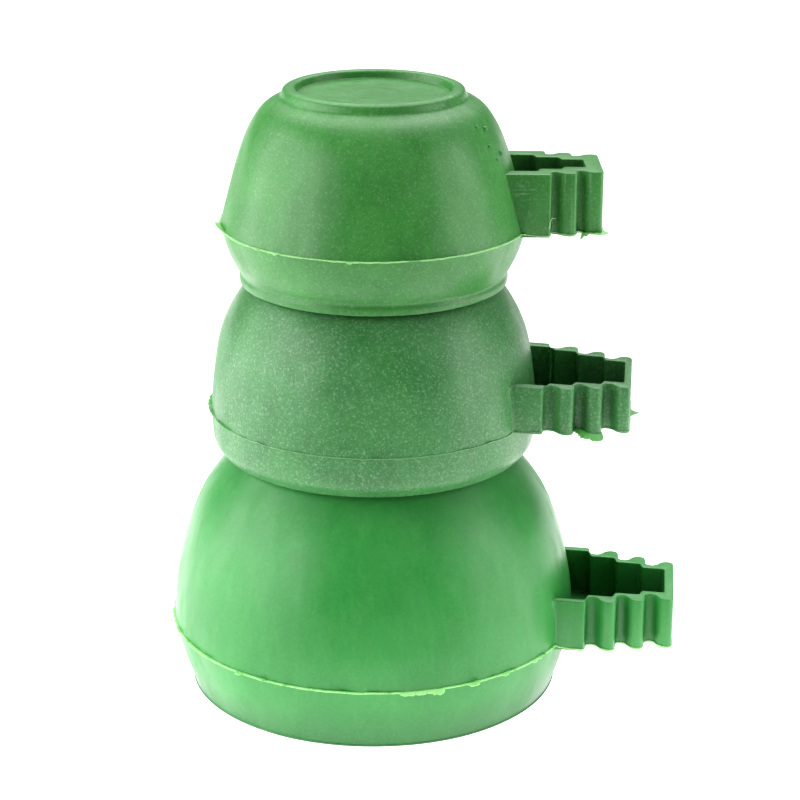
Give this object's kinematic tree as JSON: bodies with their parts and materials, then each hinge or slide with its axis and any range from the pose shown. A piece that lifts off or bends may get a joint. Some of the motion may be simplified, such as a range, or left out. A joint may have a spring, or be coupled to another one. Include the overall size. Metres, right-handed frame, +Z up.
{
  "type": "cage feeding cup set",
  "caption": "Nested stack of moulded bird-cage feeding cups, mouths down; each bowl has a foot ring and a scalloped wedge clip that is pushed between cage wires.",
  "frame": {"origin": "on the surface the stack stands on, under the middle of its length and width; the bowls' common axis is at X = -9.95 mm", "axes": "+Z up, along the bowls' axis, from the large cup's mouth to the small cup's foot ring; +X the way all three clips point"},
  "size_m": [0.0996, 0.0798, 0.1195],
  "materials": {
    "large_plastic": "satin injection-moulded polyethylene, bright green, smooth",
    "medium_plastic": "satin injection-moulded recycled polyethylene, dull green with dense pale specks",
    "small_plastic": "satin injection-moulded polyethylene, mid green with fine pale specks"
  },
  "bodies": {
    "large": {"large_cup": "large_plastic"},
    "medium": {"medium_cup": "medium_plastic"},
    "small": {"small_cup": "small_plastic"}
  },
  "joints": [
    {"name": "medium_lift", "type": "slide", "parent": "large", "child": "medium", "axis": [0, 0, 1], "range_m": [0, 0.06]},
    {"name": "small_lift", "type": "slide", "parent": "medium", "child": "small", "axis": [0, 0, 1], "range_m": [0, 0.06]}
  ]
}
